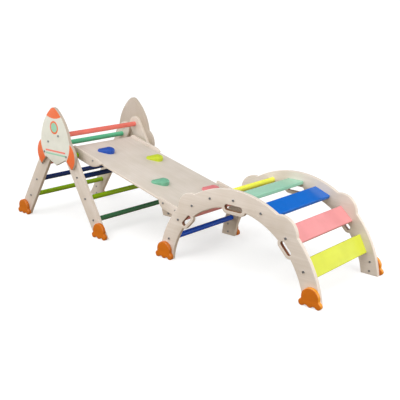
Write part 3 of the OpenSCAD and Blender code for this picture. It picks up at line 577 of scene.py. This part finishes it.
class GYM_OT_stage(bpy.types.Operator):
    """Lay the floor, hang the lights and set up the camera"""
    bl_idname = "gym.stage"
    bl_label = "Studio"

    def execute(self, context):
        stage, tint = context.scene.gym_stage, context.scene.gym_colours
        mesh = bpy.data.meshes.new("studio_floor")
        half = FLOOR_HALF
        mesh.from_pydata([(-half, -half, 0), (half, -half, 0), (half, half, 0), (-half, half, 0)], [], [(0, 1, 2, 3)])
        floor = bpy.data.objects.new("studio_floor", mesh)
        # opal acrylic sheet, cast, sanded dull and lit from below: an even white ground that takes a soft shadow
        mesh.materials.append(start_material("lit_opal_acrylic", roughness=0.9, base_color=rgba(tint.floor),
                                             emission_color=WHITE, emission_strength=stage.glow)[0])
        context.scene.collection.objects.link(floor)
        floor.visible_diffuse = floor.visible_glossy = False
        for name, kind, strength, where, toward in LIGHTS:
            light = bpy.data.lights.new(name, kind)
            light.energy = getattr(stage, strength)
            if kind == "SUN":
                light.angle = stage.spread
            else:
                light.size = LAMP_WIDTH
            lamp = bpy.data.objects.new(name, light)
            lamp.location, lamp.rotation_euler = where, Vector(toward).to_track_quat("-Z", "Y").to_euler()
            lamp.visible_camera = False
            context.scene.collection.objects.link(lamp)
        world = bpy.data.worlds.new("studio_sky")
        world.use_nodes = True
        tree = world.node_tree
        # the sky falls off from front to back, is brighter in a band above the floor, and turns to ground below it
        direction = add(tree, "ShaderNodeTexCoord").outputs["Generated"]
        axes = add(tree, "ShaderNodeSeparateXYZ", {0: direction}).outputs
        sky = add(tree, "ShaderNodeMapRange", {"Value": axes["Y"], "From Min": -0.2, "From Max": 0.5,
                  "To Min": stage.front_sky, "To Max": stage.back_sky})
        band = add(tree, "ShaderNodeMapRange", {"Value": axes["Z"], "From Min": 0.13, "From Max": 0.3,
                   "To Min": stage.horizon, "To Max": sky.outputs[0]})
        rise = add(tree, "ShaderNodeMapRange", {"Value": axes["Z"], "From Min": -0.08, "From Max": -0.03})
        above = add(tree, "ShaderNodeMapRange", {"Value": rise.outputs[0], "To Min": stage.ground,
                    "To Max": band.outputs[0]})
        tone = add(tree, "ShaderNodeMix", {"Factor": rise.outputs[0], 6: rgba(tint.ground), 7: WHITE},
                   data_type="RGBA")
        shine = tree.nodes["Background"].inputs
        tree.links.new(above.outputs[0], shine["Strength"])
        tree.links.new(tone.outputs[2], shine["Color"])
        context.scene.world = world
        camera = bpy.data.objects.new("photo_camera", bpy.data.cameras.new("photo_camera"))
        camera.data.lens, camera.data.sensor_width = stage.lens, SENSOR_WIDTH
        camera.data.clip_end = CAMERA_REACH
        camera.location, camera.rotation_euler = stage.eye, stage.aim
        context.scene.collection.objects.link(camera)
        context.scene.camera = camera
        context.scene.view_settings.view_transform = "Standard"
        return {"FINISHED"}


class GYM_OT_legs(bpy.types.Operator):
    """Round and finish the four legs of the triangle"""
    bl_idname = "gym.legs"
    bl_label = "Triangle legs"

    def execute(self, context):
        sizes = context.scene.gym_sizes
        for part, ends in (("front", (1, 5)), ("rear", (1, 4))):
            top, foot = (middle(f"{part}_rung_{k}") for k in ends)
            turn = math.atan2(top.z - foot.z, foot.x - top.x)
            ply = birch_plywood(f"birch_plywood_{part}_leg", turn)
            for node in sided(f"{part}_leg"):
                rounded_plate(node, sizes.edge_round, "birch_ply", ply)
        return {"FINISHED"}


class GYM_OT_rocket_boards(bpy.types.Operator):
    """Round and print the two rocket boards"""
    bl_idname = "gym.rocket_boards"
    bl_label = "Rocket boards"

    def execute(self, context):
        paint = printed_birch("printed_birch_plywood")
        for node in sided("rocket_panel"):
            rounded_plate(node, context.scene.gym_sizes.edge_round, "painted_board", paint)
        return {"FINISHED"}


class GYM_OT_rungs(bpy.types.Operator):
    """Lacquer the round rungs and the flat slats"""
    bl_idname = "gym.rungs"
    bl_label = "Rungs and slats"

    def execute(self, context):
        tint = context.scene.gym_colours
        paints = {shade: lacquer(f"{shade}_lacquer_on_beech", getattr(tint, shade))
                  for shade in sorted(set(LACQUERED.values()))}
        for node, shade in LACQUERED.items():
            dress(node, paints[shade])
        return {"FINISHED"}


class GYM_OT_paws(bpy.types.Operator):
    """Round and lacquer the eight paw feet"""
    bl_idname = "gym.paws"
    bl_label = "Paw feet"

    def execute(self, context):
        tint = context.scene.gym_colours
        # the paws at the arch's slat end, beside the side lamp, get paler golden edges: a painted highlight
        for name, edge, paws in (
                ("orange_lacquer_on_birch", None, ("front_paw", "rear_paw", "arch_paw_left")),
                ("orange_lacquer_with_golden_edge", tint.paw_lit_edge, ("arch_paw_right",))):
            paint = lacquer(name, tint.paw, edge)
            for node in sided(*paws):
                rounded_plate(node, context.scene.gym_sizes.paw_round, "orange_paint", paint)
        return {"FINISHED"}


class GYM_OT_ramp(bpy.types.Operator):
    """Round and finish the ramp's board, cheeks, hook plates and bar"""
    bl_idname = "gym.ramp"
    bl_label = "Ramp"

    def execute(self, context):
        radius = context.scene.gym_sizes.edge_round
        board = birch_plywood("birch_plywood_ramp_board", RAMP_ANGLE, RAMP_SQUARE)
        rounded_plate("ramp_board", radius, "birch_ply", board)
        ply = birch_plywood("birch_plywood_ramp_side", RAMP_ANGLE)
        for node in sided("upper_cheek", "lower_cheek"):
            rounded_plate(node, radius, "birch_ply", ply)
        # the hook plates are drawn darker and warmer than the cheeks: painted shade
        shaded_ply = birch_plywood("bare_birch_plywood_hook", RAMP_ANGLE, tone=SHADED_TONE)
        for node in sided("hook_plate"):
            rounded_plate(node, radius, "birch_ply", shaded_ply)
        dress("hook_bar", birch_plywood("turned_birch_bar", math.pi / 2, (1, 0, 0)))
        return {"FINISHED"}


class GYM_OT_holds(bpy.types.Operator):
    """Mould the four climbing holds"""
    bl_idname = "gym.holds"
    bl_label = "Climbing holds"

    def execute(self, context):
        tint = context.scene.gym_colours
        for node, (down, across, shade) in HOLDS.items():
            resin = cast_resin(f"{shade}_cast_resin", getattr(tint, f"hold_{shade}"))
            moulded_hold(node, down, across, HOLD_TURN, resin)
        return {"FINISHED"}


class GYM_OT_arch(bpy.types.Operator):
    """Round and finish the two side panels of the arch"""
    bl_idname = "gym.arch"
    bl_label = "Arch panels"

    def execute(self, context):
        ply = birch_plywood("birch_plywood_arch", 0)
        # the walls of the hand slots are drawn dark brown: painted shade in the recesses
        wall = birch_plywood("browned_birch_plywood_slot", 0, tone=SLOT_SHADE_TONE)
        for node in sided("arch_panel"):
            rounded_plate(node, context.scene.gym_sizes.edge_round, "birch_ply", ply, wall)
        return {"FINISHED"}


class GYM_OT_fasteners(bpy.types.Operator):
    """Finish the bolts and screws"""
    bl_idname = "gym.fasteners"
    bl_label = "Fasteners"

    def execute(self, context):
        steel = zinc_steel("zinc_plated_steel", context.scene.gym_colours.steel)
        for node in FASTENERS:
            dress(node, steel)
        return {"FINISHED"}


OPERATORS = (GYM_OT_stage, GYM_OT_legs, GYM_OT_rocket_boards, GYM_OT_rungs, GYM_OT_paws, GYM_OT_ramp, GYM_OT_holds,
             GYM_OT_arch, GYM_OT_fasteners)


class GYM_PT_panel(bpy.types.Panel):
    """Buttons for the pieces, and the sizes and colours they use"""
    bl_idname = "GYM_PT_panel"
    bl_label = "Climbing Gym"
    bl_space_type = "VIEW_3D"
    bl_region_type = "UI"
    bl_category = "Gym"

    def draw(self, context):
        for operator in OPERATORS:
            self.layout.operator(operator.bl_idname)
        for group in (context.scene.gym_sizes, context.scene.gym_colours, context.scene.gym_stage):
            box = self.layout.box()
            for name in group.bl_rna.properties.keys():
                if name not in {"rna_type", "name"}:
                    box.prop(group, name)


CLASSES = (GymSizes, GymColours, GymStage, *OPERATORS, GYM_PT_panel)


def register():
    for cls in CLASSES:
        bpy.utils.register_class(cls)
    bpy.types.Scene.gym_sizes = PointerProperty(type=GymSizes)
    bpy.types.Scene.gym_colours = PointerProperty(type=GymColours)
    bpy.types.Scene.gym_stage = PointerProperty(type=GymStage)


def unregister():
    del bpy.types.Scene.gym_stage, bpy.types.Scene.gym_colours, bpy.types.Scene.gym_sizes
    for cls in reversed(CLASSES):
        bpy.utils.unregister_class(cls)


def main():
    register()
    bpy.ops.gym.stage()
    bpy.ops.gym.legs()
    bpy.ops.gym.rocket_boards()
    bpy.ops.gym.rungs()
    bpy.ops.gym.paws()
    bpy.ops.gym.ramp()
    bpy.ops.gym.holds()
    bpy.ops.gym.arch()
    bpy.ops.gym.fasteners()


if __name__ == "__main__":
    main()
